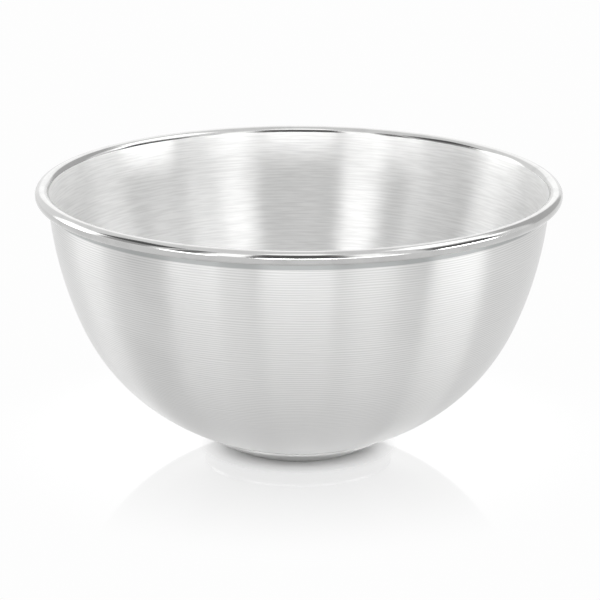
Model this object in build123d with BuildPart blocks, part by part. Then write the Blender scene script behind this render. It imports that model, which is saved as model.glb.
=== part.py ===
from build123d import *
from math import acos, cos, degrees, radians, sin, tan
import os

# A round offering bowl in sheet metal, in millimetres. Its edge is rolled outwards over a stiffening wire,
# and a low tapered ring is brazed under it as a foot. The origin is the centre of the resting plane, +Z up.

# Overall size
rim_diameter = 200.0  # outermost, over the rolled edge
overall_height = 102.5  # from the resting plane to the top of the rolled edge

# Sheet and rolled edge
sheet = 0.6  # thickness of the metal
wire_diameter = 3.2  # stiffening wire inside the roll
wire_fit = 0.5  # radial clearance between the wire and the roll around it
roll_gap = 0.15  # clearance between the end of the roll and the wall

# Bowl wall, measured on its outer face
wall_lean = 3.2  # degrees from upright where the wall enters the roll
wall_run = 26.0  # tangent length of the upper of the two arcs of the wall
base_diameter = 18.0  # flat centre of the underside
base_lift = 2.0  # underside above the resting plane

# Foot
foot_diameter = 50.0  # outside, on the resting plane
foot_flare_diameter = 72.0  # outside, at the top of the taper
foot_flare_height = 5.6  # height of the taper, above which the edge is upright
foot_bore = 42.0
foot_edge = 0.5  # rounding of the two edges on the resting plane
braze_gap = 0.05  # clearance that the braze fills between the foot and the shell

# Places and sizes that follow
bead_radius = wire_diameter / 2 + wire_fit + sheet
roll_radius = bead_radius - sheet
roll_height = overall_height - bead_radius
roll_centre = Vector(rim_diameter / 2 - bead_radius, roll_height)
roll_start = 180 - wall_lean
roll_end = 180 + degrees(acos((roll_radius - roll_gap) / bead_radius))
roll_sweep = 360 + roll_start - roll_end
wall_outward = Vector(cos(radians(wall_lean)), -sin(radians(wall_lean)))
wall_down = Vector(-sin(radians(wall_lean)), -cos(radians(wall_lean)))
outer_top = roll_centre - wall_outward * roll_radius
inner_top = roll_centre - wall_outward * bead_radius
base_edge = Vector(base_diameter / 2, base_lift)


def wall_arcs(top, down, run, bottom):
    """Radius and sweep of the two tangent arcs from the leaning wall down to the flat base."""
    inward = Vector(-1, 0)
    chord = bottom - top
    base_run = (chord.dot(chord) / 2 - run * chord.dot(down)) / (
        chord.dot(inward) + run * (1 - down.dot(inward))
    )
    joint_way = (bottom - inward * base_run) - (top + down * run)
    upper_sweep = down.get_angle(joint_way)
    lower_sweep = joint_way.get_angle(inward)
    upper_radius = run / tan(radians(upper_sweep / 2))
    lower_radius = base_run / tan(radians(lower_sweep / 2))
    return upper_radius, upper_sweep, lower_radius, lower_sweep


upper_radius, upper_sweep, lower_radius, lower_sweep = wall_arcs(outer_top, wall_down, wall_run, base_edge)

# Shell: wall, flat base and rolled edge in one piece of sheet
with BuildPart() as bowl_shell:
    with BuildSketch(Plane.XZ):
        with BuildLine():
            outer_side = JernArc(outer_top, wall_down, upper_radius, -upper_sweep)
            outer_shoulder = JernArc(outer_side @ 1, outer_side % 1, lower_radius, -lower_sweep)
            outer_base = Line(outer_shoulder @ 1, (0, base_lift))
            inner_side = JernArc(inner_top, wall_down, upper_radius - sheet, -upper_sweep)
            inner_shoulder = JernArc(inner_side @ 1, inner_side % 1, lower_radius - sheet, -lower_sweep)
            inner_base = Line(inner_shoulder @ 1, (0, base_lift + sheet))
            Line(outer_base @ 1, inner_base @ 1)
            roll_inside = CenterArc(roll_centre, roll_radius, roll_start, -roll_sweep)
            roll_outside = CenterArc(roll_centre, bead_radius, roll_start, -roll_sweep)
            Line(roll_inside @ 1, roll_outside @ 1)
        make_face()
    revolve(axis=Axis.Z)
bowl_shell.part.label = "bowl_shell"

# Wire: a closed ring that the edge is rolled around
with BuildPart() as rim_wire:
    with BuildSketch(Plane.XZ):
        with Locations(roll_centre):
            Circle(wire_diameter / 2)
    revolve(axis=Axis.Z)
rim_wire.part.label = "rim_wire"

# Foot: a tapered ring, its top cut to the underside of the shell
with BuildPart() as foot_ring:
    with BuildSketch(Plane.XZ):
        with BuildLine():
            Polyline(
                (foot_bore / 2, 0),
                (foot_diameter / 2, 0),
                (foot_flare_diameter / 2, foot_flare_height),
                (foot_flare_diameter / 2, roll_height),
                (foot_bore / 2, roll_height),
                close=True,
            )
        make_face()
    revolve(axis=Axis.Z)
    with BuildSketch(Plane.XZ):
        with BuildLine():
            seat_top = outer_top + wall_outward * braze_gap
            seat_side = JernArc(seat_top, wall_down, upper_radius + braze_gap, -upper_sweep)
            seat_shoulder = JernArc(seat_side @ 1, seat_side % 1, lower_radius + braze_gap, -lower_sweep)
            Polyline(seat_shoulder @ 1, (0, base_lift - braze_gap), (0, overall_height), seat_top)
        make_face()
    revolve(axis=Axis.Z, mode=Mode.SUBTRACT)
    fillet(foot_ring.edges().group_by(Axis.Z)[0], foot_edge)
foot_ring.part.label = "foot_ring"

os.makedirs("parts", exist_ok=True)
for piece in (bowl_shell, rim_wire, foot_ring):
    export_step(piece.part, f"parts/{piece.part.label}.step")

inside_base = base_lift + sheet
print(f"wall arcs {upper_radius:.2f} over {upper_sweep:.2f} deg, {lower_radius:.2f} over {lower_sweep:.2f} deg")
print(f"bead {2 * bead_radius:.2f}, inside floor {inside_base:.2f}, shell {bowl_shell.part.volume:.0f} mm3")
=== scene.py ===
import logging
import math
from dataclasses import dataclass, field
from enum import Enum
from itertools import pairwise

import bpy
from mathutils import Euler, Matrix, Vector
from mathutils.kdtree import KDTree


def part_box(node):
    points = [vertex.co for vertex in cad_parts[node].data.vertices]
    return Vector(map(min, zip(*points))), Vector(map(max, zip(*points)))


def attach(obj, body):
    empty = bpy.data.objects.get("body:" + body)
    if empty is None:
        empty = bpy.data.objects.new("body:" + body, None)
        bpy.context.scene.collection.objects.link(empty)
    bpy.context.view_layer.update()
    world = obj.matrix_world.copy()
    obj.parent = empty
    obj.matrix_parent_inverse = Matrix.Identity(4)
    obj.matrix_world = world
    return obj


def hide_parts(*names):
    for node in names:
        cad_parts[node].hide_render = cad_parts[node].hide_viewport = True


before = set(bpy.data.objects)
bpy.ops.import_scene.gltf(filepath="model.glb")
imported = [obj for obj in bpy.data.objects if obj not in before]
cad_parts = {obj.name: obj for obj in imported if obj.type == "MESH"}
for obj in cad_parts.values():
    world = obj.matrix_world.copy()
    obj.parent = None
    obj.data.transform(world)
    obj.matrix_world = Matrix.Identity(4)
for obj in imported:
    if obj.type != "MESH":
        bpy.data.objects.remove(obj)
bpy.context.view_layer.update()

log = logging.getLogger("offering_bowl")
MM = 0.001
BODY = "root"
RUN_NAME = "section_run"
WELD = 0.002 * MM  # vertices closer than this are one
SMOOTH_ANGLE = math.radians(40)  # edges sharper than this stay sharp
MARKS_PER_METRE = 28.0  # of wiping and handling, on brushed metal
MARK_ROUGHENING = 0.05  # added roughness in a mark
RIPPLES_PER_METRE = 900.0  # on metal without brush lines
QUARTER_TURN = 0.25  # of the highlights, so that they spread across the lines
Tone = tuple[float, float, float]
Feed = bpy.types.NodeSocket | float | tuple[float, ...]
Feeds = dict[str | int, Feed]


class Zone(Enum):
    """Stretches of a section that are finished in their own way."""

    OUTSIDE = "outside"
    BAND = "band"
    CURL = "curl"
    EDGE = "edge"
    INSIDE = "inside"
    FOOT = "foot"


@dataclass
class Section:
    """A section drawn as a walk of straight runs and arcs, with radius as x and height as y.

    Attributes:
        place: Where the walk has come to.
        heading: The way it faces, in radians from straight outwards, left turns counted up.
        points: The places that it has passed.
        zones: The zone of each stretch between two points.
    """

    place: Vector
    heading: float
    points: list[Vector] = field(default_factory=list)
    zones: list[Zone] = field(default_factory=list)

    def __post_init__(self) -> None:
        """Starts the list of points where the walk starts."""
        self.points.append(self.place.copy())

    def _step_to(self, place: Vector, zone: Zone) -> None:
        """Adds one point and the zone of the stretch that leads to it.

        Args:
            place: The new point.
            zone: The zone of the stretch.
        """
        self.place = place
        self.points.append(place)
        self.zones.append(zone)

    def face(self, turn: float) -> None:
        """Turns left on the spot, by an angle in radians."""
        self.heading += turn

    def straight(self, length: float, zone: Zone, steps: int = 1) -> None:
        """Walks straight on.

        Args:
            length: Length of the run, in metres.
            zone: The zone that the run belongs to.
            steps: How many stretches the run is divided into.
        """
        stride = Vector((math.cos(self.heading), math.sin(self.heading))) * (length / steps)
        for _ in range(steps):
            self._step_to(self.place + stride, zone)

    def turn(self, radius: float, sweep: float, zone: Zone, steps: int) -> None:
        """Walks along an arc.

        Args:
            radius: Radius of the arc, in metres.
            sweep: Angle of the arc in radians, above 0 to the left and under 0 to the right.
            zone: The zone that the arc belongs to.
            steps: How many stretches the arc is divided into.
        """
        reach = math.copysign(radius, sweep)
        start = self.heading
        centre = self.place + Vector((-math.sin(start), math.cos(start))) * reach
        for count in range(1, steps + 1):
            self.heading = start + sweep * count / steps
            spoke = Vector((math.sin(self.heading), -math.cos(self.heading)))
            self._step_to(centre + spoke * reach, zone)


def spin_section(name: str, section: Section, turns: int) -> bpy.types.Object:
    """Draws a section from one vertex and spins it about the upright axis.

    Args:
        name: Name of the new piece.
        section: The section, closed on itself or ending on the axis at both ends.
        turns: How many steps a full turn has.

    Returns:
        The closed, smooth piece, with each vertex's way along the section as an attribute.
    """
    first = section.points[0]
    bpy.ops.object.select_all(action="DESELECT")
    bpy.ops.mesh.primitive_plane_add(size=MM, location=(first.x, 0, first.y))
    bpy.ops.object.transform_apply(location=True, rotation=True, scale=True)
    piece = bpy.context.object
    piece.name = piece.data.name = name
    bpy.ops.object.mode_set(mode="EDIT")
    bpy.ops.mesh.select_all(action="SELECT")
    bpy.ops.mesh.merge(type="CENTER")
    for here, there in pairwise(section.points):
        stride = there - here
        bpy.ops.mesh.extrude_vertices_move(TRANSFORM_OT_translate={"value": (stride.x, 0, stride.y)})
    bpy.ops.mesh.select_all(action="SELECT")
    bpy.ops.mesh.remove_doubles(threshold=WELD)
    bpy.ops.mesh.spin(steps=turns, angle=math.tau, center=(0, 0, 0), axis=(0, 0, 1))
    bpy.ops.mesh.select_all(action="SELECT")
    bpy.ops.mesh.remove_doubles(threshold=WELD)
    bpy.ops.mesh.normals_make_consistent(inside=False)
    bpy.ops.object.mode_set(mode="OBJECT")
    bpy.ops.object.shade_smooth_by_angle(angle=SMOOTH_ANGLE)
    mark_run(piece, section)
    return piece


def mark_run(piece: bpy.types.Object, section: Section) -> None:
    """Writes each vertex's way along the section, in metres, as an attribute of the mesh.

    Args:
        piece: The spun piece.
        section: The section that it was spun from.
    """
    tree = KDTree(len(section.points))
    runs = [0.0]
    for here, there in pairwise(section.points):
        runs.append(runs[-1] + (there - here).length)
    for index, point in enumerate(section.points):
        tree.insert((point.x, point.y, 0), index)
    tree.balance()
    attribute = piece.data.attributes.new(RUN_NAME, "FLOAT", "POINT")
    for vertex, value in zip(piece.data.vertices, attribute.data, strict=True):
        value.value = runs[tree.find((vertex.co.xy.length, vertex.co.z, 0))[1]]


def dress_zones(piece: bpy.types.Object, section: Section, worn: dict[Zone, bpy.types.Material]) -> None:
    """Gives the faces of each zone their own material.

    Args:
        piece: The spun piece.
        section: The section that it was spun from.
        worn: The material of each zone of the section.
    """
    materials = list(dict.fromkeys(worn.values()))
    for material in materials:
        piece.data.materials.append(material)
    tree = KDTree(len(section.zones))
    for index, (here, there) in enumerate(pairwise(section.points)):
        middle = (here + there) / 2
        tree.insert((middle.x, middle.y, 0), index)
    tree.balance()
    for face in piece.data.polygons:
        found = tree.find((face.center.xy.length, face.center.z, 0))[1]
        face.material_index = materials.index(worn[section.zones[found]])


class NodeBoard:
    """Short calls that add and link the nodes of one tree."""

    def __init__(self, tree: bpy.types.NodeTree) -> None:
        """Takes the tree that the nodes go into."""
        self.tree = tree

    def add(self, kind: str, feeds: Feeds | None = None, **settings: object) -> bpy.types.Node:
        """Adds a node.

        Args:
            kind: The node's type, without the words that all types start with.
            feeds: What each input takes, a socket to link or a plain value.
            settings: The node's own settings.

        Returns:
            The new node.
        """
        node = self.tree.nodes.new("ShaderNode" + kind)
        for name, value in settings.items():
            setattr(node, name, value)
        self.feed(node, feeds or {})
        return node

    def feed(self, node: bpy.types.Node, feeds: Feeds) -> None:
        """Gives a node's inputs what they take.

        Args:
            node: The node.
            feeds: What each input takes, a socket to link or a plain value.
        """
        for socket, value in feeds.items():
            if isinstance(value, bpy.types.NodeSocket):
                self.tree.links.new(value, node.inputs[socket])
            else:
                node.inputs[socket].default_value = value

    def maths(self, operation: str, *values: Feed) -> bpy.types.NodeSocket:
        """Adds a Math node over sockets or numbers, and gives its result."""
        return self.add("Math", dict(enumerate(values)), operation=operation).outputs[0]

    def ramp(
        self, value: Feed, low: float, high: float, start: float = 0.0, end: float = 1.0
    ) -> bpy.types.NodeSocket:
        """Adds a smooth step of a value from low to high, and gives its result."""
        feeds = {"Value": value, "From Min": low, "From Max": high, "To Min": start, "To Max": end}
        return self.add("MapRange", feeds, interpolation_type="SMOOTHSTEP").outputs["Result"]

    def blend(self, share: Feed, first: Feed, second: Feed) -> bpy.types.NodeSocket:
        """Adds a mix of two colours, and gives its result."""
        node = self.add("Mix", {0: share, 6: first, 7: second}, data_type="RGBA")
        return node.outputs[2]


class EffectGroup:
    """A shader node group with named inputs and outputs, built once and placed in several materials."""

    def __init__(
        self, name: str, inputs: dict[str, tuple[str, float | None]], outputs: tuple[str, ...]
    ) -> None:
        """Makes the group with its sockets.

        Args:
            name: Name of the group.
            inputs: The kind and the first value of each input.
            outputs: Names of the outputs, which are all plain values.
        """
        self.tree = bpy.data.node_groups.new(name, "ShaderNodeTree")
        for socket, (kind, value) in inputs.items():
            made = self.tree.interface.new_socket(socket, in_out="INPUT", socket_type="NodeSocket" + kind)
            if value is not None:
                made.default_value = value
        for socket in outputs:
            self.tree.interface.new_socket(socket, in_out="OUTPUT", socket_type="NodeSocketFloat")
        self.board = NodeBoard(self.tree)
        self.given = self.tree.nodes.new("NodeGroupInput").outputs
        self.result = self.tree.nodes.new("NodeGroupOutput").inputs

    def put_out(self, name: str, socket: bpy.types.NodeSocket) -> None:
        """Links a socket to one of the group's outputs."""
        self.tree.links.new(socket, self.result[name])

    def place(self, board: NodeBoard, feeds: Feeds) -> bpy.types.NodeOutputs:
        """Places the group in a material.

        Args:
            board: The material's board.
            feeds: What each of the group's inputs takes there.

        Returns:
            The outputs of the placed group.
        """
        node = board.tree.nodes.new("ShaderNodeGroup")
        node.node_tree = self.tree
        board.feed(node, feeds)
        return node.outputs


class Effects:
    """The effects that several finishes share."""

    def __init__(self) -> None:
        """Builds each effect once."""
        self.grain = self._grain()
        self.handling = self._handling()

    @staticmethod
    def _grain() -> EffectGroup:
        """Builds the lines that a brush leaves round a turning piece.

        Returns:
            A group that gives the height of the lines and how dark they are, where the darkening is dirt
            and painted shade in the grooves.
        """
        inputs = {
            "Run": ("Float", 0.0),
            "Position": ("Vector", None),
            "Pitch": ("Float", MM),
            "Evenness": ("Float", 0.5),
        }
        group = EffectGroup("turned_grain", inputs, ("Height", "Shade"))
        board, given = group.board, group.given
        place = board.add("SeparateXYZ", {0: given["Position"]}).outputs
        flat = board.add("CombineXYZ", {0: place["X"], 1: place["Y"]}).outputs[0]
        spoke = board.add("VectorMath", {0: flat}, operation="NORMALIZE").outputs[0]
        way = board.add("SeparateXYZ", {0: spoke}).outputs
        count = board.maths("DIVIDE", given["Run"], given["Pitch"])

        def drawn_noise(round_scale: float, line_scale: float, detail: float) -> bpy.types.NodeSocket:
            """Adds noise that is drawn out round the piece.

            Args:
                round_scale: How fast it changes round the piece.
                line_scale: How fast it changes from line to line.
                detail: How many finer layers it has.

            Returns:
                The noise, from 0 to 1.
            """
            spot = board.add(
                "CombineXYZ",
                {
                    0: board.maths("MULTIPLY", way["X"], round_scale),
                    1: board.maths("MULTIPLY", way["Y"], round_scale),
                    2: board.maths("MULTIPLY", count, line_scale),
                },
            ).outputs[0]
            return board.add("TexNoise", {"Vector": spot, "Scale": 1.0, "Detail": detail}).outputs[0]

        # Even lines, which wander by up to 1.3 of their pitch and fade out in places
        wander = board.maths("MULTIPLY", drawn_noise(round_scale=2.5, line_scale=0.22, detail=1.0), 1.3)
        turn = board.maths("MULTIPLY", board.maths("ADD", count, wander), math.tau)
        clear = board.ramp(drawn_noise(round_scale=6.0, line_scale=0.45, detail=1.0), low=0.26, high=0.56)
        lines = board.maths("MULTIPLY", board.maths("COSINE", turn), board.maths("MULTIPLY", clear, 0.5))
        # Loose scratches, as deep above the middle as below it
        loose = drawn_noise(round_scale=9.0, line_scale=2.3, detail=3.0)
        scratch = board.maths("MULTIPLY_ADD", loose, 1.8, -0.9)
        mixed = board.add("Mix", {0: given["Evenness"], 2: scratch, 3: lines}, data_type="FLOAT").outputs[0]
        height = board.maths("ADD", mixed, 0.5)
        group.put_out("Height", height)
        group.put_out("Shade", board.ramp(height, low=0.2, high=0.8, start=1.0, end=0.0))
        return group

    @staticmethod
    def _handling() -> EffectGroup:
        """Builds the soft marks of wiping and handling.

        Returns:
            A group that gives how marked the surface is.
        """
        group = EffectGroup(
            "handling_marks", {"Position": ("Vector", None), "Scale": ("Float", 30.0)}, ("Mark",)
        )
        board, given = group.board, group.given
        feeds = {"Vector": given["Position"], "Scale": given["Scale"], "Detail": 3.0, "Distortion": 0.6}
        broad = board.add("TexNoise", feeds).outputs[0]
        group.put_out("Mark", board.ramp(broad, low=0.42, high=0.68))
        return group


@dataclass(frozen=True)
class BrushedFinish:
    """Sheet metal brushed round the bowl while it turns.

    Attributes:
        name: Name of the material.
        tone: Colour of the clean metal.
        groove_dirt_and_shade_tone: Colour in the bottom of the brush lines, darker for dirt and for painted
            shade in the grooves.
        metallic: How much of it shines as metal, and isn't spread all round by the brushing.
        roughness: Roughness of the clean metal.
        anisotropy: How far highlights spread across the lines.
        pitch: Distance between the lines, in metres.
        evenness: How even the lines are, from 0 for loose scratches to 1 for regular lines.
        depth: Depth of the lines, in metres.
        smooth_run: Way along the section that is left smooth, in metres. Past it, the lines come in over
            as much again.
    """

    name: str
    tone: Tone
    groove_dirt_and_shade_tone: Tone
    metallic: float
    roughness: float
    anisotropy: float
    pitch: float
    evenness: float
    depth: float
    smooth_run: float = 0.0

    def material(self, effects: Effects) -> bpy.types.Material:
        """Builds the finish as a material.

        Args:
            effects: The shared effects.

        Returns:
            The new material.
        """
        material, board, shader = new_metal(self.name)
        place = board.add("TexCoord").outputs["Object"]
        run = board.add("Attribute", attribute_name=RUN_NAME).outputs["Fac"]
        grain = effects.grain.place(
            board, {"Run": run, "Position": place, "Pitch": self.pitch, "Evenness": self.evenness}
        )
        mark = effects.handling.place(board, {"Position": place, "Scale": MARKS_PER_METRE})["Mark"]
        shade, height = grain["Shade"], grain["Height"]
        if self.smooth_run:
            brushed = board.ramp(run, self.smooth_run, 2 * self.smooth_run)
            shade = board.maths("MULTIPLY", shade, brushed)
            height = board.maths("MULTIPLY", height, brushed)
        # The brush lines are darker in the colour: dirt in the grooves, and painted shade in them.
        colour = board.blend(shade, (*self.tone, 1), (*self.groove_dirt_and_shade_tone, 1))
        rough = board.maths("MULTIPLY_ADD", mark, MARK_ROUGHENING, self.roughness)
        bump = board.add("Bump", {"Height": height, "Distance": self.depth, "Strength": 1.0})
        tangent = board.add("Tangent", direction_type="RADIAL", axis="Z")
        board.feed(
            shader,
            {
                "Base Color": colour,
                "Metallic": self.metallic,
                "Roughness": rough,
                "Normal": bump.outputs[0],
                "Tangent": tangent.outputs[0],
                "Anisotropic": self.anisotropy,
                "Anisotropic Rotation": QUARTER_TURN,
            },
        )
        return material


@dataclass(frozen=True)
class SmoothFinish:
    """Metal without brush lines: polished, satin or drawn.

    Attributes:
        name: Name of the material.
        tone: Colour of the clean metal.
        worn_tone: Colour where it is marked.
        roughness: Roughness of the clean metal.
        worn_roughness: Roughness where it is marked.
        ripple: Depth of the tool's faint ripples, in metres.
        mark_scale: How many marks there are in a metre.
    """

    name: str
    tone: Tone
    worn_tone: Tone
    roughness: float
    worn_roughness: float
    ripple: float
    mark_scale: float

    def material(self, effects: Effects) -> bpy.types.Material:
        """Builds the finish as a material.

        Args:
            effects: The shared effects.

        Returns:
            The new material.
        """
        material, board, shader = new_metal(self.name)
        place = board.add("TexCoord").outputs["Object"]
        mark = effects.handling.place(board, {"Position": place, "Scale": self.mark_scale})["Mark"]
        feeds = {"Vector": place, "Scale": RIPPLES_PER_METRE, "Detail": 2.0}
        ripple = board.add("TexNoise", feeds).outputs[0]
        colour = board.blend(mark, (*self.tone, 1), (*self.worn_tone, 1))
        rough = board.maths("MULTIPLY_ADD", mark, self.worn_roughness - self.roughness, self.roughness)
        bump = board.add("Bump", {"Height": ripple, "Distance": self.ripple, "Strength": 1.0})
        board.feed(shader, {"Base Color": colour, "Roughness": rough, "Normal": bump.outputs[0]})
        return material


@dataclass(frozen=True)
class FloorFinish:
    """White acrylic sheet with light under it, which is shaded below the bowl.

    Attributes:
        tone: Colour of the sheet by itself.
        roughness: Roughness of its gloss.
        glow: Light that comes through the sheet, under the gloss.
        shade: Radius up to which no light comes through.
        clear: Radius from which the light comes through in full.
        fade: Radius from which the light begins to drown the gloss.
        white: Radius from which the floor is plain white.
        plain: Brightness of the plain white.
    """

    tone: Tone = (0.86, 0.86, 0.86)
    roughness: float = 0.06
    glow: float = 0.75
    shade: float = 24.0 * MM
    clear: float = 41.0 * MM
    fade: float = 40.0 * MM
    white: float = 135.0 * MM
    plain: float = 0.985

    def material(self) -> bpy.types.Material:
        """Builds the finish as a material.

        Returns:
            The new material.
        """
        material = bpy.data.materials.new("white_floor")
        material.use_nodes = True
        material.node_tree.nodes.clear()
        board = NodeBoard(material.node_tree)
        place = board.add("TexCoord").outputs["Object"]
        reach = board.add("VectorMath", {0: place}, operation="LENGTH").outputs["Value"]
        ray = board.add("LightPath").outputs
        seen = board.maths("MAXIMUM", ray["Is Camera Ray"], ray["Is Glossy Ray"])
        seen = board.maths("MAXIMUM", seen, ray["Is Transmission Ray"])
        lit = board.maths("MULTIPLY", board.ramp(reach, self.shade, self.clear), seen)
        plain = board.maths("MULTIPLY", board.ramp(reach, self.fade, self.white), seen)
        sheet = board.add(
            "BsdfPrincipled",
            {
                "Base Color": board.blend(lit, (*self.tone, 1), (0, 0, 0, 1)),
                "Roughness": self.roughness,
                "Emission Color": (1, 1, 1, 1),
                "Emission Strength": board.maths("MULTIPLY", lit, self.glow),
            },
        )
        bright = board.add("Emission", {"Color": (1, 1, 1, 1), "Strength": self.plain})
        mixed = board.add("MixShader", {0: plain, 1: sheet.outputs[0], 2: bright.outputs[0]})
        board.add("OutputMaterial", {"Surface": mixed.outputs[0]})
        return material


def new_metal(name: str) -> tuple[bpy.types.Material, NodeBoard, bpy.types.Node]:
    """Starts a metal material.

    Args:
        name: Name of the material.

    Returns:
        The material, the board of its nodes and its shader.
    """
    material = bpy.data.materials.new(name)
    material.use_nodes = True
    material.node_tree.nodes.clear()
    board = NodeBoard(material.node_tree)
    shader = board.add("BsdfPrincipled", {"Metallic": 1.0})
    board.add("OutputMaterial", {"Surface": shader.outputs[0]})
    return material, board, shader


BRUSHED_OUTSIDE = BrushedFinish(
    name="brushed_outside",
    tone=(0.74, 0.74, 0.735),
    groove_dirt_and_shade_tone=(0.62, 0.62, 0.615),
    metallic=1.0,
    roughness=0.31,
    anisotropy=1.0,
    pitch=0.96 * MM,
    evenness=0.85,
    depth=0.020 * MM,
    smooth_run=45.0 * MM,
)
# Painted light: a lighter tone than the outside of the same sheet, which brightens the inside.
BRUSHED_INSIDE_PAINTED_LIGHT = BrushedFinish(
    name="brushed_inside_painted_light",
    tone=(0.95, 0.95, 0.945),
    groove_dirt_and_shade_tone=(0.83, 0.83, 0.825),
    metallic=0.60,
    roughness=0.28,
    anisotropy=1.0,
    pitch=1.3 * MM,
    evenness=0.2,
    depth=0.007 * MM,
)
# Painted shade under the roll: a much darker tone than the brushed wall, on metal that the brush leaves
# smooth.
SMOOTH_BAND_PAINTED_SHADE = BrushedFinish(
    name="smooth_band_painted_shade",
    tone=(0.43, 0.44, 0.44),
    groove_dirt_and_shade_tone=(0.40, 0.41, 0.41),
    metallic=1.0,
    roughness=0.28,
    anisotropy=0.95,
    pitch=0.30 * MM,
    evenness=0.2,
    depth=0.001 * MM,
)
SATIN_FOOT = BrushedFinish(
    name="satin_foot",
    tone=(0.60, 0.60, 0.595),
    groove_dirt_and_shade_tone=(0.52, 0.52, 0.515),
    metallic=1.0,
    roughness=0.36,
    anisotropy=0.6,
    pitch=0.6 * MM,
    evenness=0.3,
    depth=0.002 * MM,
)
# Painted shade: a darker tone than the brushed sheet that the edge is rolled from, which dims its
# reflections to grey.
POLISHED_EDGE_PAINTED_SHADE = SmoothFinish(
    name="polished_edge_painted_shade",
    tone=(0.55, 0.55, 0.545),
    worn_tone=(0.51, 0.51, 0.505),
    roughness=0.09,
    worn_roughness=0.15,
    ripple=0.006 * MM,
    mark_scale=90.0,
)
DRAWN_WIRE = SmoothFinish(
    name="drawn_wire",
    tone=(0.62, 0.62, 0.61),
    worn_tone=(0.50, 0.50, 0.49),
    roughness=0.30,
    worn_roughness=0.45,
    ripple=0.004 * MM,
    mark_scale=120.0,
)


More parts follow.
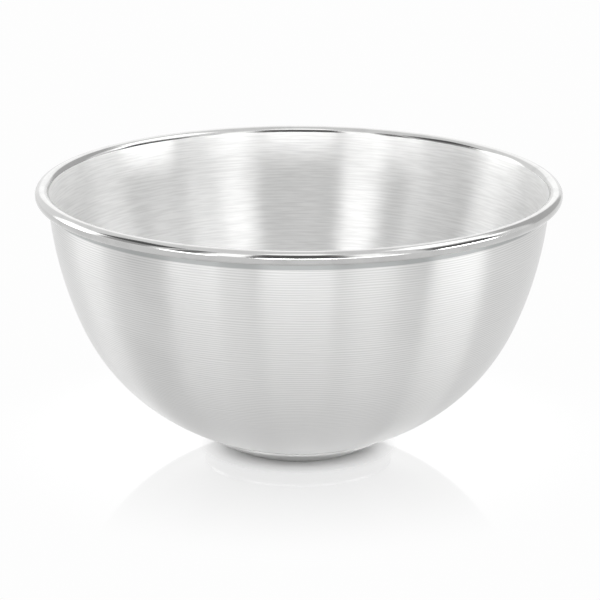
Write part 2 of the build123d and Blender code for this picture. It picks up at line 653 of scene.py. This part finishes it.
@dataclass
class BowlShell:
    """The spun sheet with its rolled edge.

    Attributes:
        sheet: Thickness of the metal.
        wall_lean: Angle from upright where the wall enters the roll.
        wall_run: Tangent length of the upper of the wall's two arcs.
        base_diameter: Flat centre of the underside.
        roll_gap: Clearance between the end of the roll and the wall.
        band: Width of the smooth band under the roll, which the brush can't reach and which carries painted
            shade from the roll.
        brushed_lap: How far the inside brushing laps onto the roll.
        turns: Steps in a full turn of the mesh.
        base_lift: Height of the flat centre above the floor.
        bead_radius: Outer radius of the roll.
        roll_radius: Inner radius of the roll.
        roll_centre: Centre of the roll, with radius as x and height as y.
        roll_sweep: Angle that the roll turns through.
        down: The way down along the wall where it leaves the roll.
        outer_top: The wall's outer face where it enters the roll.
        upper_radius: Outer radius of the wall's upper arc.
        upper_sweep: Angle of the upper arc.
        lower_radius: Outer radius of the wall's lower arc.
        lower_sweep: Angle of the lower arc.
    """

    sheet: float = 0.6 * MM
    wall_lean: float = math.radians(3.2)
    wall_run: float = 26.0 * MM
    base_diameter: float = 18.0 * MM
    roll_gap: float = 0.15 * MM
    band: float = 5.2 * MM
    brushed_lap: float = math.radians(14)
    turns: int = 320
    base_lift: float = field(init=False)
    bead_radius: float = field(init=False)
    roll_radius: float = field(init=False)
    roll_centre: Vector = field(init=False)
    roll_sweep: float = field(init=False)
    down: Vector = field(init=False)
    outer_top: Vector = field(init=False)
    upper_radius: float = field(init=False)
    upper_sweep: float = field(init=False)
    lower_radius: float = field(init=False)
    lower_sweep: float = field(init=False)

    def __post_init__(self) -> None:
        """Takes the outer sizes from the CAD nodes."""
        low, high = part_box("bowl_shell")
        wire_low, wire_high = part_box("rim_wire")
        self.base_lift = low.z
        self.bead_radius = high.z - (wire_low.z + wire_high.z) / 2
        self.roll_radius = self.bead_radius - self.sheet
        self.roll_centre = Vector((high.x - self.bead_radius, high.z - self.bead_radius))
        outward = Vector((math.cos(self.wall_lean), -math.sin(self.wall_lean)))
        self.down = Vector((-math.sin(self.wall_lean), -math.cos(self.wall_lean)))
        self.outer_top = self.roll_centre - outward * self.roll_radius
        roll_end = math.acos((self.roll_radius - self.roll_gap) / self.bead_radius)
        self.roll_sweep = math.tau - self.wall_lean - roll_end
        self._fit_wall()

    def _fit_wall(self) -> None:
        """Works out the two tangent arcs from the leaning wall down to the flat base."""
        inward = Vector((-1, 0))
        base_edge = Vector((self.base_diameter / 2, self.base_lift))
        chord = base_edge - self.outer_top
        base_run = (chord.dot(chord) / 2 - self.wall_run * chord.dot(self.down)) / (
            chord.dot(inward) + self.wall_run * (1 - self.down.dot(inward))
        )
        joint_way = (base_edge - inward * base_run) - (self.outer_top + self.down * self.wall_run)
        self.upper_sweep = self.down.angle(joint_way)
        self.lower_sweep = joint_way.angle(inward)
        self.upper_radius = self.wall_run / math.tan(self.upper_sweep / 2)
        self.lower_radius = base_run / math.tan(self.lower_sweep / 2)

    def section(self) -> Section:
        """Walks up the outside, round the roll and down the inside.

        Returns:
            The section of the sheet, from axis to axis.
        """
        base = self.base_diameter / 2
        band_sweep = self.band / self.upper_radius
        walk = Section(Vector((0, self.base_lift)), 0)
        walk.straight(base, Zone.OUTSIDE, steps=3)
        walk.turn(self.lower_radius, self.lower_sweep, Zone.OUTSIDE, steps=44)
        walk.turn(self.upper_radius, self.upper_sweep - band_sweep, Zone.OUTSIDE, steps=16)
        walk.turn(self.upper_radius, band_sweep, Zone.BAND, steps=4)
        walk.turn(self.roll_radius, -self.roll_sweep, Zone.CURL, steps=24)
        walk.face(math.pi / 2)
        walk.straight(self.sheet, Zone.CURL)
        walk.face(math.pi / 2)
        walk.turn(self.bead_radius, self.roll_sweep - self.brushed_lap, Zone.EDGE, steps=46)
        walk.turn(self.bead_radius, self.brushed_lap, Zone.INSIDE, steps=3)
        walk.turn(self.upper_radius - self.sheet, -self.upper_sweep, Zone.INSIDE, steps=20)
        walk.turn(self.lower_radius - self.sheet, -self.lower_sweep, Zone.INSIDE, steps=44)
        walk.straight(base, Zone.INSIDE, steps=3)
        return walk

    def build(self, effects: Effects) -> bpy.types.Object:
        """Spins the sheet and dresses its zones.

        Args:
            effects: The shared effects.

        Returns:
            The finished piece.
        """
        section = self.section()
        piece = spin_section("spun_bowl", section, self.turns)
        # The band and the inside of the curl carry painted shade under the roll.
        band = SMOOTH_BAND_PAINTED_SHADE.material(effects)
        worn = {
            Zone.OUTSIDE: BRUSHED_OUTSIDE.material(effects),
            Zone.BAND: band,
            Zone.CURL: band,
            Zone.EDGE: POLISHED_EDGE_PAINTED_SHADE.material(effects),
            Zone.INSIDE: BRUSHED_INSIDE_PAINTED_LIGHT.material(effects),
        }
        dress_zones(piece, section, worn)
        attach(piece, BODY)
        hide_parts("bowl_shell")
        return piece


@dataclass
class FootRing:
    """The low tapered ring under the bowl.

    Attributes:
        shell: The bowl that it is brazed to.
        floor_diameter: Outside, on the resting plane.
        bore: Inside diameter.
        flare_height: Height of the taper.
        floor_edge: Rounding of the edges on the resting plane.
        flare_edge: Rounding at the top of the taper.
        braze_gap: Clearance under the shell.
        turns: Steps in a full turn of the mesh.
    """

    shell: BowlShell
    floor_diameter: float = 50.0 * MM
    bore: float = 42.0 * MM
    flare_height: float = 5.6 * MM
    floor_edge: float = 0.5 * MM
    flare_edge: float = 0.3 * MM
    braze_gap: float = 0.05 * MM
    turns: int = 240

    def section(self) -> Section:
        """Walks down the bore, along the floor, up the taper and back along the seat.

        Returns:
            The closed section of the ring.
        """
        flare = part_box("foot_ring")[1].x
        bore, floor = self.bore / 2, self.floor_diameter / 2
        seat = self.shell.lower_radius + self.braze_gap
        seat_centre = Vector((self.shell.base_diameter / 2, self.shell.base_lift + self.shell.lower_radius))
        inner_sweep = math.asin((bore - seat_centre.x) / seat)
        outer_sweep = math.asin((flare - seat_centre.x) / seat)
        inner_top = seat_centre.y - seat * math.cos(inner_sweep)
        outer_top = seat_centre.y - seat * math.cos(outer_sweep)
        taper = math.atan2(self.flare_height, flare - floor)
        slope = math.hypot(flare - floor, self.flare_height)
        upturn = math.pi / 2 - taper
        floor_trim = self.floor_edge * math.tan(taper / 2)
        flare_trim = self.flare_edge * math.tan(upturn / 2)
        walk = Section(Vector((bore, inner_top)), -math.pi / 2)
        walk.straight(inner_top - self.floor_edge, Zone.FOOT, steps=2)
        walk.turn(self.floor_edge, math.pi / 2, Zone.FOOT, steps=8)
        walk.straight(floor - bore - self.floor_edge - floor_trim, Zone.FOOT, steps=3)
        walk.turn(self.floor_edge, taper, Zone.FOOT, steps=4)
        walk.straight(slope - floor_trim - flare_trim, Zone.FOOT, steps=8)
        walk.turn(self.flare_edge, upturn, Zone.FOOT, steps=6)
        walk.straight(outer_top - self.flare_height - flare_trim, Zone.FOOT, steps=2)
        walk.face(math.pi / 2 + outer_sweep)
        walk.turn(seat, inner_sweep - outer_sweep, Zone.FOOT, steps=10)
        return walk

    def build(self, effects: Effects) -> bpy.types.Object:
        """Spins the ring and dresses it.

        Args:
            effects: The shared effects.

        Returns:
            The finished piece.
        """
        section = self.section()
        piece = spin_section("turned_foot", section, self.turns)
        dress_zones(piece, section, {Zone.FOOT: SATIN_FOOT.material(effects)})
        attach(piece, BODY)
        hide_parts("foot_ring")
        return piece


@dataclass
class RimWire:
    """The drawn wire inside the rolled edge, which keeps its CAD mesh."""

    def build(self, effects: Effects) -> bpy.types.Object:
        """Dresses the CAD node.

        Args:
            effects: The shared effects.

        Returns:
            The dressed node.
        """
        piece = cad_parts["rim_wire"]
        piece.data.materials.clear()
        piece.data.materials.append(DRAWN_WIRE.material(effects))
        return piece


@dataclass(frozen=True)
class Patch:
    """A stretch of the white surround with a light of its own: a softbox, or a dark opening.

    Attributes:
        name: What it is.
        azimuth: Its middle, in degrees from the camera, to the right.
        wide: Its width, in degrees.
        low: Its lower edge, in degrees above the floor.
        high: Its upper edge.
        level: How bright it is, where 1 is white.
        soft: Half the width of its soft edge, in degrees.
    """

    name: str
    azimuth: float
    wide: float
    low: float
    high: float
    level: float
    soft: float = 3.0

    def lay(
        self, board: NodeBoard, way: bpy.types.NodeSocket, lift: bpy.types.NodeSocket, under: Feed
    ) -> bpy.types.NodeSocket:
        """Lays the patch over the light of the surround.

        Args:
            board: The board of the world's nodes.
            way: The direction that is looked in.
            lift: Its angle above the floor, in radians.
            under: The light without the patch.

        Returns:
            The light with the patch.
        """
        turned = board.add(
            "VectorRotate", {"Vector": way, "Angle": -math.radians(self.azimuth)}, rotation_type="Z_AXIS"
        ).outputs[0]
        part = board.add("SeparateXYZ", {0: turned}).outputs
        front = board.maths("MULTIPLY", part["Y"], -1.0)
        side = board.maths("ABSOLUTE", board.maths("ARCTAN2", part["X"], front))
        degrees = (self.wide / 2, self.low, self.high, self.soft)
        half, low, high, soft = (math.radians(value) for value in degrees)
        across = board.ramp(side, half + soft, half - soft)
        above = board.ramp(lift, low - soft, low + soft)
        below = board.ramp(lift, high + soft, high - soft)
        share = board.maths("MULTIPLY", across, board.maths("MULTIPLY", above, below))
        feeds = {0: share, 2: under, 3: self.level}
        return board.add("Mix", feeds, data_type="FLOAT", label=self.name).outputs[0]


@dataclass(frozen=True)
class Surround:
    """White screens around and above the bowl, with softboxes in them and dark openings between them.

    Attributes:
        level: How bright the screens are, where 1 is white.
        patches: The softboxes and openings, later ones over earlier ones.
    """

    level: float
    patches: tuple[Patch, ...]

    def build(self) -> bpy.types.World:
        """Sets the screens up as the world, which the camera itself sees as plain white.

        Returns:
            The world.
        """
        world = bpy.data.worlds.new("surround")
        world.use_nodes = True
        world.node_tree.nodes.clear()
        board = NodeBoard(world.node_tree)
        way = board.add("TexCoord").outputs["Generated"]
        lift = board.maths("ARCSINE", board.add("SeparateXYZ", {0: way}).outputs["Z"])
        light = self.level
        for patch in self.patches:
            light = patch.lay(board, way, lift, light)
        camera = board.add("LightPath").outputs["Is Camera Ray"]
        strength = board.add("Mix", {0: camera, 2: light, 3: 1.0}, data_type="FLOAT").outputs[0]
        sky = board.add("Background", {"Color": (1, 1, 1, 1), "Strength": strength})
        board.add("OutputWorld", {"Surface": sky.outputs[0]})
        bpy.context.scene.world = world
        return world


@dataclass
class Studio:
    """Floor, light and camera.

    Attributes:
        floor_radius: Radius of the floor.
        floor_sides: How many sides its outline has.
        distance: How far the camera stands in front of the bowl's axis.
        height: Height of the camera.
        pitch: How far it looks down.
        roll: How far it leans.
        side: How far it stands to the right.
        focal: Its focal length as a share of the picture's width.
        near: How close to it things begin to be seen.
        surround: The light.
    """

    floor_radius: float = 6.0
    floor_sides: int = 128
    distance: float = 1.300
    height: float = 0.42776
    pitch: float = 0.278
    roll: float = 0.0024
    side: float = 0.00052
    focal: float = 3530.64 / 600
    near: float = 0.05
    surround: Surround = Surround(
        level=1.10,
        patches=(
            # Name, azimuth, width, lower edge, upper edge, level, and the soft edge where it is narrower
            Patch("ceiling", 0.0, 400.0, 60.0, 120.0, 1.04),
            Patch("front_high", 0.0, 54.0, 60.0, 80.0, 1.9),
            Patch("right_high", 98.0, 62.0, 45.0, 66.0, 2.6),
            Patch("right_back", 103.0, 13.0, 26.0, 46.0, 2.6),
            Patch("left_front", -31.0, 16.0, 8.0, 46.0, 2.0),
            Patch("right_front", 33.0, 14.0, 8.0, 46.0, 1.8),
            Patch("left_back", -112.0, 32.0, -4.0, 28.0, 2.2),
            Patch("far_back", 180.0, 40.0, 10.0, 52.0, 1.5),
            Patch("front_opening", 0.0, 42.0, 5.0, 58.0, 0.16),
            Patch("left_shade", -80.0, 26.0, 6.0, 27.0, 0.5),
            Patch("left_front_shade", -50.0, 13.0, 8.0, 50.0, 0.25),
            Patch("right_back_shade", 138.0, 40.0, -4.0, 44.0, 0.65),
            Patch("left_opening", -84.0, 42.0, 27.0, 52.0, 0.14),
            Patch("right_opening", 76.0, 38.0, 4.0, 34.0, 0.14),
            Patch("front_strip", 0.0, 34.0, -4.0, 4.5, 11.5, 2.0),
            Patch("right_front_strip", 32.0, 26.0, -4.0, 5.0, 5.0, 2.0),
            Patch("left_strip", -48.0, 24.0, -4.0, 6.0, 7.5, 2.0),
            Patch("right_strip", 77.0, 30.0, -4.0, 6.0, 11.0, 2.0),
            Patch("far_left_strip", -110.0, 20.0, -4.0, 6.0, 5.0, 2.0),
        ),
    )

    def floor(self) -> bpy.types.Object:
        """Lays the glossy white floor.

        Returns:
            The floor.
        """
        bpy.ops.object.select_all(action="DESELECT")
        bpy.ops.mesh.primitive_circle_add(
            vertices=self.floor_sides, radius=self.floor_radius, fill_type="NGON"
        )
        floor = bpy.context.object
        floor.name = "floor"
        floor.data.materials.append(FloorFinish().material())
        return floor

    def camera(self) -> bpy.types.Object:
        """Sets up the camera.

        Returns:
            The camera.
        """
        lens = bpy.data.cameras.new("camera")
        lens.sensor_fit = "HORIZONTAL"
        lens.lens = self.focal * lens.sensor_width
        lens.clip_start = self.near
        camera = bpy.data.objects.new("camera", lens)
        bpy.context.scene.collection.objects.link(camera)
        camera.location = (self.side, -self.distance, self.height)
        look = Euler((math.pi / 2 - self.pitch, 0, 0)).to_matrix()
        lean = Euler((0, 0, self.roll)).to_matrix()
        camera.rotation_euler = (look @ lean).to_euler()
        bpy.context.scene.camera = camera
        return camera

    def build(self) -> None:
        """Builds the floor, the light and the camera."""
        self.floor()
        self.surround.build()
        self.camera()
        bpy.context.scene.view_settings.view_transform = "Standard"


def main() -> None:
    """Builds the bowl piece by piece, then the studio around it."""
    logging.basicConfig(level=logging.INFO, format="%(name)s: %(message)s")
    effects = Effects()
    shell = BowlShell()
    for piece in (shell.build(effects), RimWire().build(effects), FootRing(shell).build(effects)):
        log.info("%s: %d faces", piece.name, len(piece.data.polygons))
    Studio().build()


if __name__ == "__main__":
    main()
